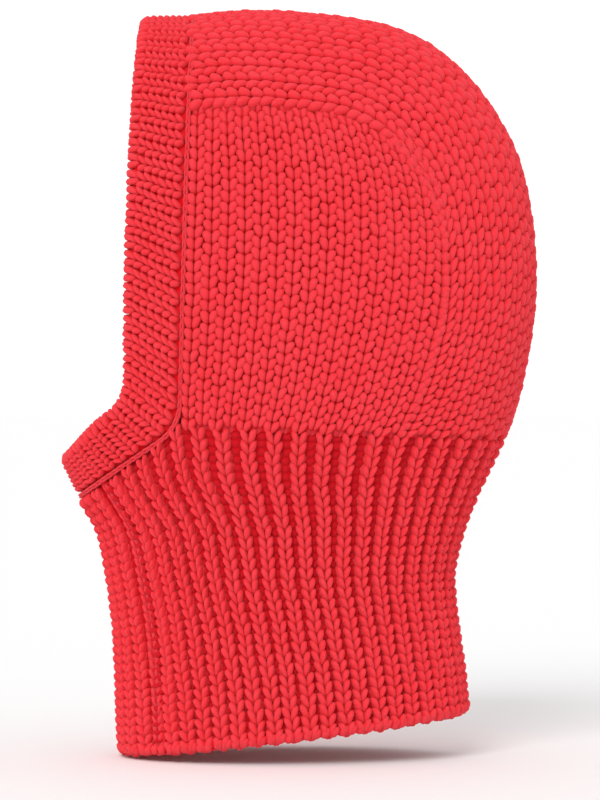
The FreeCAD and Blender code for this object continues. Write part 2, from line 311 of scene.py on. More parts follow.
def ringLine(arch, chin, count=801):
    # closed ring round the face from the top centre by the left side, its cheek corners rounded
    spread = bandShape["cornerSpread"]
    half = resample(np.concatenate([arch, chin[1:]]), 161)
    mirror = half * [-1, 1, 1]
    longer = np.concatenate([mirror[spread:0:-1], half, mirror[-2:-spread - 2:-1]])
    rounded = np.array([longer[k:k + 2 * spread + 1].mean(0) for k in range(161)])
    rounded[[0, -1], 0] = 0
    rounded = resample(rounded, count)
    return np.concatenate([rounded, rounded[-2::-1] * [-1, 1, 1]])


def bandLines():
    high = hoodShape["angles"][1]
    line = archLine(high, 0)
    seam = ringLine(standUp(line[:, 0], line[:, 1], high), chinSeamLine())
    x0, y0, z0 = bandShape["rimCheek"]
    reach, widest, half = bandShape["rimReach"], bandShape["rimWidest"], bandShape["rimHalf"]
    power = hoodShape["roundness"][-1]
    profile = archProfile(reach, half, widest, power, x0)
    lean = bandShape["rimLean"] * (profile[:, 1] / reach) ** 2
    rim = np.stack([profile[:, 0], y0 + lean, z0 + profile[:, 1]], 1)
    turn = np.radians(np.linspace(0, 90, 61))
    slope = math.radians(bandShape["chinSlope"])
    forward = bandShape["chinReach"] * np.sin(turn)
    chin = np.stack([x0 * np.cos(turn), y0 - forward * math.cos(slope), z0 - forward * math.sin(slope)], 1)
    return seam, ringLine(rim, chin)


def unit(v):
    return v / np.maximum(np.linalg.norm(v, axis=-1, keepdims=True), 1e-12)


seamRing, rimRing = bandLines()
outOfFace = unit(rimRing - seamRing)


def intoWall(ring):
    along = np.roll(ring[:-1], -1, 0) - np.roll(ring[:-1], 1, 0)
    along = np.concatenate([along, along[:1]])
    return unit(np.cross(along, outOfFace))


seamInto, rimInto = intoWall(seamRing), intoWall(rimRing)


def ringGrid(path, margin, countU):
    # sweeps a path of (distance out of the seam as a share of the band, offset, depth) round the face
    places = np.linspace(-margin, 1 + margin, countU) % 1.0
    index = places * (len(seamRing) - 1)
    take = lambda a: np.stack([np.interp(index, np.arange(len(a)), a[:, k]) for k in range(3)], 1)
    seam, out, into0, into1 = take(seamRing), take(outOfFace), take(seamInto), take(rimInto)
    width = np.linalg.norm(take(rimRing) - seam, axis=1)[:, None]
    rows = []
    for share, offset, depth in path:
        into = unit(into0 + (into1 - into0) * share)
        rows.append(seam + out * (width * share + offset) + into * depth)
    return np.array(rows)


# meshes

def gridFaces(rows, columns, closedU=False):
    faces = []
    for j in range(rows - 1):
        for i in range(columns if closedU else columns - 1):
            k = (i + 1) % columns
            faces.append((j * columns + i, j * columns + k, (j + 1) * columns + k, (j + 1) * columns + i))
    return faces


def gridNormals(grid):
    return unit(np.cross(np.gradient(grid, axis=1), np.gradient(grid, axis=0)))


def newObject(name, verts, faces):
    mesh = bpy.data.meshes.new(name)
    mesh.from_pydata([tuple(v) for v in np.asarray(verts, float)], [], faces)
    mesh.update()
    piece = bpy.data.objects.new(name, mesh)
    bpy.context.scene.collection.objects.link(piece)
    return piece


def knitSurface(name, grid, margin):
    # a surface to knit on: its UV map counts from 0 to 1 across and along, and lift is its way out
    rows, columns = grid.shape[:2]
    piece = newObject(name, grid.reshape(-1, 3), gridFaces(rows, columns))
    u, v = np.meshgrid(np.linspace(-margin, 1 + margin, columns), np.linspace(-margin, 1 + margin, rows))
    uv = np.stack([u, v], 2).reshape(-1, 2)
    layer = piece.data.uv_layers.new(name="knit")
    index = np.zeros(len(piece.data.loops), int)
    piece.data.loops.foreach_get("vertex_index", index)
    layer.data.foreach_set("uv", uv[index].ravel())
    lift = piece.data.attributes.new("lift", "FLOAT_VECTOR", "POINT")
    lift.data.foreach_set("vector", gridNormals(grid).ravel())
    return piece


def fabricShell(name, grid, thickness, closedU=False):
    # closed thin cloth about a grid of points; closedU joins the last column to the first
    rows, columns = grid.shape[:2]
    if closedU:
        wrapped = np.concatenate([grid[:, -1:], grid, grid[:, :1]], 1)
        normals = gridNormals(wrapped)[:, 1:-1]
    else:
        normals = gridNormals(grid)
    front = (grid + normals * thickness / 2).reshape(-1, 3)
    back = (grid - normals * thickness / 2).reshape(-1, 3)
    faces = gridFaces(rows, columns, closedU)
    count = rows * columns
    other = [tuple(count + i for i in reversed(face)) for face in faces]
    border = []
    span = columns if closedU else columns - 1
    for i in range(span):
        k = (i + 1) % columns
        border.append((i, i + count, k + count, k))
        top = (rows - 1) * columns
        border.append((top + k, top + k + count, top + i + count, top + i))
    if not closedU:
        for j in range(rows - 1):
            a, b = j * columns, (j + 1) * columns
            border.append((b, b + count, a + count, a))
            a, b = a + columns - 1, b + columns - 1
            border.append((a, a + count, b + count, b))
    piece = newObject(name, np.concatenate([front, back]), faces + other + border)
    for face in piece.data.polygons:
        face.use_smooth = True
    layer = piece.data.uv_layers.new(name="knit")
    u, v = np.meshgrid(np.linspace(0, 1, columns), np.linspace(0, 1, rows))
    uv = np.tile(np.stack([u, v], 2).reshape(-1, 2), (2, 1))
    index = np.zeros(len(piece.data.loops), int)
    piece.data.loops.foreach_get("vertex_index", index)
    layer.data.foreach_set("uv", uv[index].ravel())
    return piece


# one stitch of each kind, in cells: x across the column, y along it, z up from the cloth in metres

lobeShape = {"around": 10, "rings": 3, "plump": 2.3, "square": 2.3}


def lobe(middle, size, lean, height, sink=0.0, tuck=0.0, taper=0.0):
    # a plump closed mound of yarn: size is its half width and half length, lean shears it sideways,
    # tuck lowers its near end and taper narrows it
    around, rings, plump, square = [lobeShape[key] for key in ("around", "rings", "plump", "square")]
    verts = [(0.0, 0.0, height)]
    uvs = [(0.5, 0.5)]
    for ring in range(1, rings + 1):
        share = math.sin(math.pi / 2 * ring / rings)
        z = height * max(1 - share ** plump, 0) ** (1 / plump) - sink * (ring == rings)
        for k in range(around):
            turn = 2 * math.pi * (k + 0.5) / around
            c, s = math.cos(turn), math.sin(turn)
            x = math.copysign(abs(c) ** (2 / square), c) * share
            y = math.copysign(abs(s) ** (2 / square), s) * share
            verts.append((x, y, z))
            uvs.append((0.5 + x / 2, 0.5 + y / 2))
    placed = []
    for x, y, z in verts:
        across = x * size[0] * (1 + taper * y) + lean * y * size[1]
        placed.append((middle[0] + across, middle[1] + y * size[1], z + tuck * y * height))
    faces = [(0, 1 + k, 1 + (k + 1) % around) for k in range(around)]
    for ring in range(rings - 1):
        a, b = 1 + ring * around, 1 + (ring + 1) * around
        faces += [(a + k, b + k, b + (k + 1) % around, a + (k + 1) % around) for k in range(around)]
    last = 1 + (rings - 1) * around
    faces.append(tuple(last + k for k in reversed(range(around))))
    return placed, faces, uvs


def stitchObject(name, lobes):
    verts, faces, uvs = [], [], []
    for each in lobes:
        start = len(verts)
        v, f, t = lobe(**each)
        verts += v
        uvs += t
        faces += [tuple(start + i for i in face) for face in f]
    piece = newObject(name, verts, faces)
    layer = piece.data.uv_layers.new(name="yarn")
    for corner, loop in zip(layer.data, piece.data.loops):
        corner.uv = uvs[loop.vertex_index]
    return piece


stitchShapes = {
    "heart": [dict(middle=(0.255 * side, 0.0), size=(0.285, 0.68), lean=0.165 * side, height=4.2 * mm,
                   sink=1.4 * mm, taper=0.34, tuck=0.20) for side in (-1, 1)],
    "ribV": [dict(middle=(0.255 * side, 0.0), size=(0.275, 0.80), lean=0.235 * side, height=4.6 * mm,
                  sink=1.8 * mm, taper=0.22, tuck=0.30) for side in (-1, 1)],
    "bar": [dict(middle=(0.0, 0.0), size=(0.5, 0.56), lean=0.0, height=2.2 * mm, sink=1.0 * mm)],
    "castOn": [dict(middle=(0.25 * side, 0.0), size=(0.29, 0.62), lean=0.22, height=3.0 * mm, sink=1.2 * mm)
               for side in (-1, 1)],
    "chainLoop": [dict(middle=(0.22 * side, 0.0), size=(0.27, 0.80), lean=0.20 * side, height=1.9 * mm,
                       sink=1.0 * mm) for side in (-1, 1)],
    "ladder": [dict(middle=(0.0, 0.0), size=(0.5, 0.42), lean=0.25, height=2.2 * mm, sink=1.0 * mm)],
}


stitches = {name: stitchObject("stitch_" + name, lobes) for name, lobes in stitchShapes.items()}


# the knitting: one Geometry Nodes tree sets stitches out in columns and courses and wraps them round

def knitTree():
    tree = bpy.data.node_groups.new("Knit Columns And Courses", "GeometryNodeTree")
    face = tree.interface
    face.new_socket("Surface", in_out="INPUT", socket_type="NodeSocketGeometry")
    face.new_socket("Geometry", in_out="OUTPUT", socket_type="NodeSocketGeometry")
    wanted = [
        ("Stitch", "NodeSocketObject", None),
        ("Columns", "NodeSocketInt", 10), ("Courses", "NodeSocketInt", 10),
        ("Stagger", "NodeSocketFloat", 0.5), ("Sideways", "NodeSocketFloat", 0.0),
        ("Width At Start", "NodeSocketFloat", 1.0), ("Width At End", "NodeSocketFloat", 1.0),
        ("Length", "NodeSocketFloat", 1.0), ("Height", "NodeSocketFloat", 1.0),
        ("Lift", "NodeSocketFloat", 0.0), ("Unevenness", "NodeSocketFloat", 0.06),
        ("Margin", "NodeSocketFloat", 0.0), ("Seed", "NodeSocketInt", 1),
        ("Yarn", "NodeSocketMaterial", None),
    ]
    for name, kind, value in wanted:
        socket = face.new_socket(name, in_out="INPUT", socket_type=kind)
        if value is not None:
            socket.default_value = value
    nodes, links = tree.nodes, tree.links
    source = nodes.new("NodeGroupInput")
    result = nodes.new("NodeGroupOutput")

    def node(kind, inputs=(), **settings):
        made = nodes.new(kind)
        for key, value in settings.items():
            setattr(made, key, value)
        for key, value in dict(inputs).items():
            socket = made.inputs[key]
            if isinstance(value, bpy.types.NodeSocket):
                links.new(value, socket)
            else:
                socket.default_value = value
        return made

    def maths(operation, a, b=0.0, c=0.0):
        return node("ShaderNodeMath", {0: a, 1: b, 2: c}, operation=operation).outputs[0]

    def chance(low, high, extra):
        seed = maths("ADD", source.outputs["Seed"], float(extra))
        return node("FunctionNodeRandomValue", {"Seed": seed, 2: low, 3: high}, data_type="FLOAT").outputs[1]

    rough = source.outputs["Unevenness"]
    smooth = maths("MULTIPLY", rough, -1.0)
    columns, courses = source.outputs["Columns"], source.outputs["Courses"]
    count = maths("MULTIPLY", columns, courses)
    index = node("GeometryNodeInputIndex").outputs[0]
    column = maths("MODULO", index, columns)
    course = maths("FLOOR", maths("DIVIDE", index, columns))
    odd = maths("MULTIPLY", maths("MODULO", column, 2.0), source.outputs["Stagger"])
    columnMiddle = maths("ADD", maths("ADD", column, 0.5), source.outputs["Sideways"])
    x = maths("ADD", columnMiddle, chance(smooth, rough, 11))
    courseMiddle = maths("ADD", maths("ADD", course, 0.5), odd)
    y = maths("ADD", courseMiddle, chance(smooth, rough, 12))
    u, v = maths("DIVIDE", x, columns), maths("DIVIDE", y, courses)
    place = node("ShaderNodeCombineXYZ", {"X": u, "Y": v}).outputs[0]
    points = node("GeometryNodePoints", {"Count": count, "Position": place}).outputs[0]

    along = node("ShaderNodeSeparateXYZ", {0: node("GeometryNodeInputPosition").outputs[0]}).outputs[1]
    width = node("ShaderNodeMapRange", {"Value": along, "To Min": source.outputs["Width At Start"],
                                        "To Max": source.outputs["Width At End"]}, clamp=True).outputs[0]
    varied = maths("ADD", 1.0, chance(smooth, rough, 13))
    scaleX = maths("DIVIDE", maths("MULTIPLY", width, varied), columns)
    longer = maths("ADD", 1.0, chance(smooth, rough, 14))
    scaleY = maths("DIVIDE", maths("MULTIPLY", source.outputs["Length"], longer), courses)
    scaleZ = maths("MULTIPLY", source.outputs["Height"], maths("ADD", 1.0, chance(smooth, rough, 15)))
    scale = node("ShaderNodeCombineXYZ", {"X": scaleX, "Y": scaleY, "Z": scaleZ}).outputs[0]
    stitch = node("GeometryNodeObjectInfo", {"Object": source.outputs["Stitch"]}).outputs["Geometry"]
    placed = node("GeometryNodeInstanceOnPoints",
                  {"Points": points, "Instance": stitch, "Scale": scale}).outputs[0]
    shaded = node("GeometryNodeStoreNamedAttribute",
                  {"Geometry": placed, "Name": "shade", 3: chance(0.0, 1.0, 16)},
                  data_type="FLOAT", domain="INSTANCE").outputs[0]
    real = node("GeometryNodeRealizeInstances", {"Geometry": shaded}).outputs[0]

    spot = node("ShaderNodeSeparateXYZ", {0: node("GeometryNodeInputPosition").outputs[0]})
    edge = maths("MULTIPLY", source.outputs["Margin"], 0.99)
    low, high = maths("SUBTRACT", 0.0001, edge), maths("ADD", 0.9999, edge)
    inside = [node("ShaderNodeClamp", {"Value": spot.outputs[k], "Min": low, "Max": high}).outputs[0]
              for k in (0, 1)]
    at = node("ShaderNodeCombineXYZ", {"X": inside[0], "Y": inside[1]}).outputs[0]
    lift = maths("ADD", spot.outputs[2], source.outputs["Lift"])
    uvMap = node("GeometryNodeInputNamedAttribute", {"Name": "knit"}, data_type="FLOAT_VECTOR").outputs[0]
    outward = node("GeometryNodeInputNamedAttribute", {"Name": "lift"}, data_type="FLOAT_VECTOR").outputs[0]
    here = node("GeometryNodeInputPosition").outputs[0]

    def sampled(value):
        return node("GeometryNodeSampleUVSurface",
                    {"Mesh": source.outputs["Surface"], "Value": value, "UV Map": uvMap, "Sample UV": at},
                    data_type="FLOAT_VECTOR")

    base, way = sampled(here), sampled(outward)
    raised = node("ShaderNodeVectorMath", {0: way.outputs[0], "Scale": lift}, operation="SCALE").outputs[0]
    final = node("ShaderNodeVectorMath", {0: base.outputs[0], 1: raised}, operation="ADD").outputs[0]
    wrapped = node("GeometryNodeSetPosition", {"Geometry": real, "Position": final}).outputs[0]
    rounded = node("GeometryNodeSetShadeSmooth", {"Geometry": wrapped}).outputs[0]
    whole = node("GeometryNodeRealizeInstances", {"Geometry": rounded}).outputs[0]
    dyed = node("GeometryNodeSetMaterial", {"Geometry": whole, "Material": source.outputs["Yarn"]}).outputs[0]
    links.new(dyed, result.inputs[0])
    return tree


knitNodes = knitTree()


def knit(name, surface, stitch, yarn, **settings):
    # knits on a surface and keeps the result as a plain mesh
    modifier = surface.modifiers.new("Knit", "NODES")
    modifier.node_group = knitNodes
    names = {item.name: item.identifier for item in knitNodes.interface.items_tree
             if item.item_type == "SOCKET" and item.in_out == "INPUT"}
    modifier[names["Stitch"]] = stitches[stitch]
    modifier[names["Yarn"]] = yarn
    for key, value in settings.items():
        modifier[names[key.replace("_", " ")]] = value
    bpy.context.view_layer.update()
    evaluated = surface.evaluated_get(bpy.context.evaluated_depsgraph_get())
    mesh = bpy.data.meshes.new_from_object(evaluated)
    mesh.name = name
    surface.modifiers.remove(modifier)
    piece = bpy.data.objects.new(name, mesh)
    bpy.context.scene.collection.objects.link(piece)
    if not mesh.materials:
        mesh.materials.append(yarn)
    print(name, len(mesh.polygons), "faces")
    return piece


# yarn and cloth

yarnLook = {
    "lit": (0.79, 0.049, 0.066),
    "deep": (0.77, 0.024, 0.036),
    # painted crease shade: the darker, redder colour the lobes are given where they dip into the creases, also
    # used in the cloth there
    "paintedCreaseShade": (0.80, 0.003, 0.010),
    "paintedValleyShade": (0.54, 0.006, 0.014),           # painted shade for the sunk bars between the neck's ribs, darker than the yarn itself
    "fibre": 900,
    "glow": 0.35,                             # share of the light that spreads inside the yarn
    "glowReach": 2.2 * mm,
    "glowTint": (1.0, 0.10, 0.08),
}


def shaderNode(nodes, links, kind, inputs=(), **settings):
    made = nodes.new(kind)
    for key, value in settings.items():
        setattr(made, key, value)
    for key, value in dict(inputs).items():
        if isinstance(value, bpy.types.NodeSocket):
            links.new(value, made.inputs[key])
        else:
            made.inputs[key].default_value = value
    return made


def yarnMaterial(name, lightest="lit", darker="deep", glow=1.0, paintedCreaseShade=0.35, relief=0.5):
    # soft matt yarn: fine fibre lines along the twist, a little light and dark from stitch to stitch, and
    # painted crease shade darkening each lobe toward its edge
    material = bpy.data.materials.new(name)
    material.use_nodes = True
    nodes, links = material.node_tree.nodes, material.node_tree.links
    nodes.clear()
    make = lambda kind, inputs=(), **settings: shaderNode(nodes, links, kind, inputs, **settings)
    uv = make("ShaderNodeUVMap", uv_map="yarn").outputs[0]
    place = make("ShaderNodeTexCoord").outputs["Object"]
    shade = make("ShaderNodeAttribute", attribute_name="shade", attribute_type="GEOMETRY").outputs["Fac"]

    plies = make("ShaderNodeTexWave", {"Vector": uv, "Scale": 2.2, "Distortion": 1.4, "Detail": 2.0,
                                       "Detail Scale": 2.0}, wave_type="BANDS", bands_direction="DIAGONAL")
    fibres = make("ShaderNodeTexNoise", {"Vector": place, "Scale": yarnLook["fibre"], "Detail": 3.0,
                                         "Roughness": 0.65})
    patches = make("ShaderNodeTexNoise", {"Vector": place, "Scale": 24.0, "Detail": 2.0})

    # painted crease shade: the lobe's colour goes darker toward its edge, where it meets its neighbours
    middle = make("ShaderNodeVectorMath", {0: uv, 1: (0.5, 0.5, 0.0)}, operation="DISTANCE").outputs["Value"]
    edge = make("ShaderNodeMapRange", {"Value": middle, "From Min": 0.28, "From Max": 0.52},
                clamp=True).outputs[0]
    tone = make("ShaderNodeMapRange", {"Value": shade, "To Min": 0.0, "To Max": 0.22}).outputs[0]
    mottled = make("ShaderNodeMapRange", {"Value": patches.outputs[0], "From Min": 0.35, "From Max": 0.65,
                                          "To Min": 0.0, "To Max": 0.16}).outputs[0]
    both = make("ShaderNodeMath", {0: tone, 1: mottled}, operation="ADD").outputs[0]
    fuzz = make("ShaderNodeMapRange", {"Value": fibres.outputs[0], "From Min": 0.3, "From Max": 0.7,
                                       "To Min": 0.0, "To Max": 0.14}).outputs[0]
    all3 = make("ShaderNodeMath", {0: both, 1: fuzz}, operation="ADD").outputs[0]
    lit, deep, dark = [(*yarnLook[key], 1.0) for key in (lightest, darker, "paintedCreaseShade")]
    body = make("ShaderNodeMix", {"Factor": all3, 6: lit, 7: deep}, data_type="RGBA").outputs[2]
    # mixes the painted crease shade in at the lobes' edges
    shadow = make("ShaderNodeMath", {0: edge, 1: paintedCreaseShade}, operation="MULTIPLY").outputs[0]
    colour = make("ShaderNodeMix", {"Factor": shadow, 6: body, 7: dark}, data_type="RGBA").outputs[2]

    ridge = make("ShaderNodeMath", {0: plies.outputs["Fac"], 1: 0.6}, operation="MULTIPLY").outputs[0]
    height = make("ShaderNodeMath", {0: ridge, 1: fibres.outputs[0]}, operation="ADD").outputs[0]
    bump = make("ShaderNodeBump", {"Height": height, "Strength": relief, "Distance": 0.0003})
    surface = make("ShaderNodeBsdfPrincipled", {
        "Base Color": colour, "Roughness": 0.88, "Normal": bump.outputs[0], "Specular IOR Level": 0.12,
        "Sheen Weight": 0.22, "Sheen Roughness": 0.5, "Sheen Tint": (1.0, 0.35, 0.35, 1.0),
        "Subsurface Weight": yarnLook["glow"] * glow, "Subsurface Radius": yarnLook["glowTint"],
        "Subsurface Scale": yarnLook["glowReach"],
    })
    output = make("ShaderNodeOutputMaterial")
    links.new(surface.outputs[0], output.inputs[0])
    return material


def clothMaterial(name, lighter="deep", darker="paintedCreaseShade"):
    # the cloth in the creases: the same yarn, coloured darker as painted shade, with a fine rib from its rows
    # of stitches
    material = bpy.data.materials.new(name)
    material.use_nodes = True
    nodes, links = material.node_tree.nodes, material.node_tree.links
    nodes.clear()
    make = lambda kind, inputs=(), **settings: shaderNode(nodes, links, kind, inputs, **settings)
    place = make("ShaderNodeTexCoord").outputs["Object"]
    fibres = make("ShaderNodeTexNoise", {"Vector": place, "Scale": 700.0, "Detail": 3.0})
    clumps = make("ShaderNodeTexNoise", {"Vector": place, "Scale": 180.0, "Detail": 2.0})
    mixed = make("ShaderNodeMapRange",
                 {"Value": clumps.outputs[0], "From Min": 0.35, "From Max": 0.65}).outputs[0]
    # painted shade: the cloth shows only between the stitches, so both its colours are darker than the lit
    # yarn; clumps mix them at random
    light, dark = [(*yarnLook[key], 1.0) for key in (lighter, darker)]
    colour = make("ShaderNodeMix", {"Factor": mixed, 6: light, 7: dark}, data_type="RGBA").outputs[2]
    bump = make("ShaderNodeBump", {"Height": fibres.outputs[0], "Strength": 0.6, "Distance": 0.0004})
    surface = make("ShaderNodeBsdfPrincipled", {
        "Base Color": colour, "Roughness": 0.95, "Normal": bump.outputs[0], "Specular IOR Level": 0.05,
    })
    output = make("ShaderNodeOutputMaterial")
    links.new(surface.outputs[0], output.inputs[0])
    return material


honeycombYarn = yarnMaterial("HoneycombYarn")
ribYarn = yarnMaterial("RibYarn")
bandYarn = yarnMaterial("BandYarn")
seamYarn = yarnMaterial("SeamYarn")
# the neck's sunk rib bars and front seam stitches are the same yarn, coloured darker as painted shade
paintedShadeValleyYarn = yarnMaterial("PaintedShadeValleyYarn", lightest="paintedValleyShade", darker="paintedValleyShade", glow=0.3)
# backing cloths for the hood, band, chain, hem and neck, coloured in painted shade
paintedShadeCreaseCloth = clothMaterial("PaintedShadeCreaseCloth")
paintedShadeValleyCloth = clothMaterial("PaintedShadeValleyCloth", lighter="paintedValleyShade", darker="paintedValleyShade")


# pieces

def mirrored(grid):
    # the right side from the left, turned so that its columns still run the same way round
    return (grid * [-1, 1, 1])[:, ::-1]


def finish(piece, material=None):
    if material:
        piece.data.materials.clear()
        piece.data.materials.append(material)
    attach(piece, "root")
    return piece


def dropSurface(surface):
    mesh = surface.data
    bpy.data.objects.remove(surface)
    bpy.data.meshes.remove(mesh)


def knitPiece(name, grid, margin, stitch, yarn, slot, **settings):
    surface = knitSurface(name + "_surface", grid, margin)
    piece = knit(name, surface, stitch, yarn, Margin=margin, **settings)
    dropSurface(surface)
    return finish(piece)


def ease(x):
    x = np.clip(x, 0, 1)
    return x * x * (3 - 2 * x)


def puff(grid, amount):
    return grid + gridNormals(grid) * amount[..., None]


hoodKnit = {
    "panelColumns": 16, "panelCourses": 29, "panelMargin": 0.06,
    "stripColumns": 18, "stripCourses": 45, "stripMargin": 0.03,
    "depth": 2.9 * mm,                       # of the stitches' feet below the surface
    "unevenness": 0.05, "insideHeight": 0.85,
    "clothThickness": 1.4 * mm,
    "seamSwell": 1.4 * mm, "swellSpread": 0.13,      # the strip stands over its seam
    "seamDip": 1.6 * mm, "dipSpread": 0.06,          # the side dips to it
}


def makeSide(side):
    wear = (lambda g: g) if side == "left" else mirrored
    margin, depth, wall = hoodKnit["panelMargin"], hoodKnit["depth"], hoodShape["wall"]
    left = sideGrid(depth, margin)
    v, u = [np.linspace(-margin, 1 + margin, n) for n in left.shape[:2]]
    nearSeam = np.exp(-((1 - v) / hoodKnit["dipSpread"]) ** 2)
    dip = nearSeam[:, None] * ease((1.15 - u) / 0.4)[None, :]
    outer = wear(puff(left, -hoodKnit["seamDip"] * dip))
    inner = wear(sideGrid(wall - depth, margin))[:, ::-1]
    shared = dict(Columns=hoodKnit["panelColumns"], Courses=hoodKnit["panelCourses"],
                  Unevenness=hoodKnit["unevenness"])
    out = knitPiece("hood_side_knit_" + side, outer, margin, "heart", honeycombYarn, "honeycomb_knit",
                    Seed=3 if side == "left" else 4, **shared)
    inn = knitPiece("hood_side_inside_" + side, inner, margin, "heart", honeycombYarn, "honeycomb_knit",
                    Seed=5 if side == "left" else 6, Height=hoodKnit["insideHeight"], **shared)
    cloth = fabricShell("hood_side_cloth_" + side, wear(sideGrid(wall / 2, 0.0, 40, 50)),
                        hoodKnit["clothThickness"])
    finish(cloth, paintedShadeCreaseCloth)
    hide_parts("hood_side_" + side)
    return cloth, [out, inn]


def makeStrip():
    margin, depth, wall = hoodKnit["stripMargin"], hoodKnit["depth"], hoodShape["wall"]
    outer = stripGrid(depth, margin)[:, ::-1]
    low, high = hoodShape["angles"]
    angle = low + (high - low) * np.linspace(-margin, 1 + margin, outer.shape[0])
    across = np.abs(np.linspace(-1 - 2 * margin, 1 + 2 * margin, outer.shape[1]))
    overCrown = ease((angle - hoodShape["turnAngle"] + 6) / 14)
    swell = overCrown[:, None] * np.exp(-((1 - across) / hoodKnit["swellSpread"]) ** 2)[None, :]
    outer = puff(outer, hoodKnit["seamSwell"] * swell)
    inner = stripGrid(wall - depth, margin)
    shared = dict(Columns=hoodKnit["stripColumns"], Courses=hoodKnit["stripCourses"],
                  Unevenness=hoodKnit["unevenness"])
    out = knitPiece("crown_strip_knit", outer, margin, "heart", honeycombYarn, "honeycomb_knit",
                    Seed=7, **shared)
    inn = knitPiece("crown_strip_inside", inner, margin, "heart", honeycombYarn, "honeycomb_knit",
                    Seed=8, Height=hoodKnit["insideHeight"], **shared)
    cloth = fabricShell("crown_strip_cloth", stripGrid(wall / 2, 0.0, 40, 90)[:, ::-1],
                        hoodKnit["clothThickness"])
    finish(cloth, paintedShadeCreaseCloth)
    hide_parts("crown_strip")
    return cloth, [out, inn]


neckKnit = {
    "ribs": 50, "courses": 29, "ribWidths": (0.80, 0.52),      # at the hem and at the top
    "bars": 38, "barWidths": (0.25, 0.52), "barSink": 1.0 * mm,
    "margin": 0.04,
    "depth": 3.2 * mm, "insideHeight": 0.8,
    "clothDepth": 3.8 * mm, "clothThickness": 1.4 * mm,
    "seamDip": 2.4 * mm, "seamSpread": 4.5 * mm,               # the ribs draw in to the front seam
    "tuckUnder": 1.0,                                          # the cloth's top edge runs in under the chain
}


def makeNeck():
    margin, depth = neckKnit["margin"], neckKnit["depth"]
    outer = neckGrid(depth, margin)[:, ::-1]
    aside = (outer[..., 0] - neckShape["seamX"]) / neckKnit["seamSpread"]
    inFront = outer[..., 1] < hoodShape["cheek"][0]
    outer = puff(outer, -neckKnit["seamDip"] * np.exp(-aside ** 2) * inFront)
    inner = neckGrid(hoodShape["wall"] - depth, margin)
    shared = dict(Columns=neckKnit["ribs"], Stagger=0.0)
    ribStart, ribEnd = neckKnit["ribWidths"]
    barStart, barEnd = neckKnit["barWidths"]
    rib = dict(Courses=neckKnit["courses"], Width_At_Start=ribStart, Width_At_End=ribEnd, Unevenness=0.05)
    bar = dict(Courses=neckKnit["bars"], Width_At_Start=barStart, Width_At_End=barEnd, Sideways=0.5,
               Length=0.92, Unevenness=0.04, Lift=-neckKnit["barSink"])
    knits = [
        knitPiece("neck_rib_knit", outer, margin, "ribV", ribYarn, "neck_rib_knit", Seed=11, **shared, **rib),
        knitPiece("neck_rib_bars", outer, margin, "bar", paintedShadeValleyYarn, "neck_rib_knit", Seed=12,
                  **shared, **bar),
        knitPiece("neck_rib_inside", inner, margin, "ribV", ribYarn, "neck_rib_knit", Seed=13,
                  Height=neckKnit["insideHeight"], **shared, **rib),
    ]
    sheet = neckGrid(neckKnit["clothDepth"], 0.0, 161, 50)[:, :-1][:, ::-1]
    sheet[-1] += (sheet[-1] - sheet[-2]) * neckKnit["tuckUnder"]
    cloth = fabricShell("neck_cloth", sheet, neckKnit["clothThickness"], closedU=True)
    finish(cloth, paintedShadeValleyCloth)
    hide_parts("neck_rib")
    return cloth, knits


bandKnit = {
    "ribs": 76, "courses": 15, "ribWidth": 0.86, "ribHeight": 0.9,
    "margin": 0.02,
    "depth": 3.0 * mm,
    "clothDepth": 3.4 * mm, "clothThickness": 1.4 * mm,
}


def bandPath(depth, count=90):
    # across the folded band: up the outside from the chain, round the fold, down the inside
    start, bulge, thick = [bandShape[key] for key in ("start", "foldBulge", "thickness")]
    radius = thick / 2 - depth
    turn = np.radians(np.linspace(-90, 90, count // 3))
    outer = [(0, start, depth), (1, -bulge, depth)]
    fold = [(1, -bulge + (bulge - depth * bulge / (thick / 2)) * math.cos(t), thick / 2 + radius * math.sin(t))
            for t in turn]
    inner = [(1, -bulge, thick - depth), (0, start, thick - depth)]
    path = outer[:1] + fold + inner[1:]
    flat = np.array([(share * bandShape["usualWidth"] + offset, deep) for share, offset, deep in path])
    length = lengthAlong(flat)
    wanted = np.linspace(0, length[-1], count)
    path = np.array(path)
    return np.stack([np.interp(wanted, length, path[:, k]) for k in range(3)], 1)


def makeBand():
    margin, width = bandKnit["margin"], bandKnit["ribWidth"]
    knitted = ringGrid(bandPath(bandKnit["depth"]), margin, 400)[:, ::-1]
    out = knitPiece("face_band_knit", knitted, margin, "ribV", bandYarn, "band_rib_knit", Seed=21,
                    Stagger=0.0, Columns=bandKnit["ribs"], Courses=bandKnit["courses"],
                    Width_At_Start=width, Width_At_End=width, Unevenness=0.05,
                    Height=bandKnit["ribHeight"])
    around = ringGrid(bandPath(bandKnit["clothDepth"]), 0.0, 241)[:, :-1]
    cloth = fabricShell("face_band_cloth", around, bandKnit["clothThickness"], closedU=True)
    finish(cloth, paintedShadeCreaseCloth)
    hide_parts("face_band")
    return cloth, [out]


chainKnit = {
    "loops": 2 * bandKnit["ribs"],
    "margin": 0.01,
    "depth": 0.9 * mm,
    "coreDepths": (0.8 * mm, 6.6 * mm), "coreThickness": 1.6 * mm,
}


def makeChain():
    # the linking chain stands up between the hood and the band
    margin, gap = chainKnit["margin"], bandShape["start"]
    across = [(0, offset, chainKnit["depth"]) for offset in np.linspace(0.0, gap, 7)]
    run = ringGrid(across, margin, 600).transpose(1, 0, 2)
    loops = knitPiece("band_chain_loops", run, margin, "chainLoop", seamYarn, "seam_yarn", Seed=31,
                      Stagger=0.0, Columns=1, Courses=chainKnit["loops"], Unevenness=0.05)
    inward = [(0, gap / 2, depth) for depth in np.linspace(*chainKnit["coreDepths"], 5)]
    core = fabricShell("band_chain_core", ringGrid(inward, 0.0, 241)[:, :-1],
                       chainKnit["coreThickness"], closedU=True)
    finish(core, paintedShadeCreaseCloth)
    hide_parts("band_linking_chain")
    return core, loops


crownSeamKnit = {"stitches": 26, "halfWidth": 2.2 * mm, "depth": 3.2 * mm}


